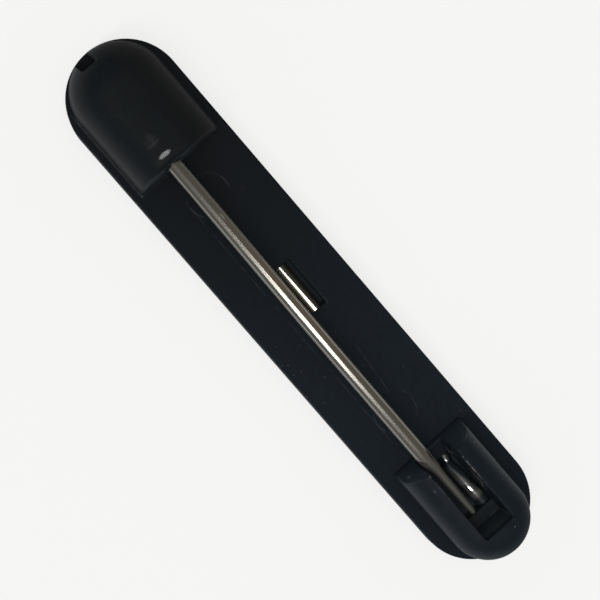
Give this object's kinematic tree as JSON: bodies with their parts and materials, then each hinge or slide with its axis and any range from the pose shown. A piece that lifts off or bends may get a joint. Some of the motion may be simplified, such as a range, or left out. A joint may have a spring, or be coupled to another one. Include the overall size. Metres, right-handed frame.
{
  "type": "brooch pin finding",
  "caption": "Flat moulded bar with round ends, a hood that hides a coiled wire, a steel pin that hinges up from it, and an open catch block that holds the pin's point.",
  "frame": {"origin": "centre of the flat back that is glued or welded to the brooch", "axes": "+X along the bar from the hood to the catch, +Y across it, +Z out of the flat back towards the pin"},
  "size_m": [0.038, 0.007, 0.005],
  "materials": {
    "bar_plastic": "satin moulded, near black",
    "pin_wire": "drawn wire"
  },
  "bodies": {
    "bar": {"moulded_bar": "bar_plastic", "anchor_leg": "pin_wire"},
    "pin": {"pin_stem": "pin_wire"}
  },
  "joints": [
    {"name": "pin_hinge", "type": "hinge", "parent": "bar", "child": "pin", "pos_m": [-0.01422, -0.0006, 0.00202], "axis": [0, -1, 0], "range_deg": [0, 12]}
  ]
}
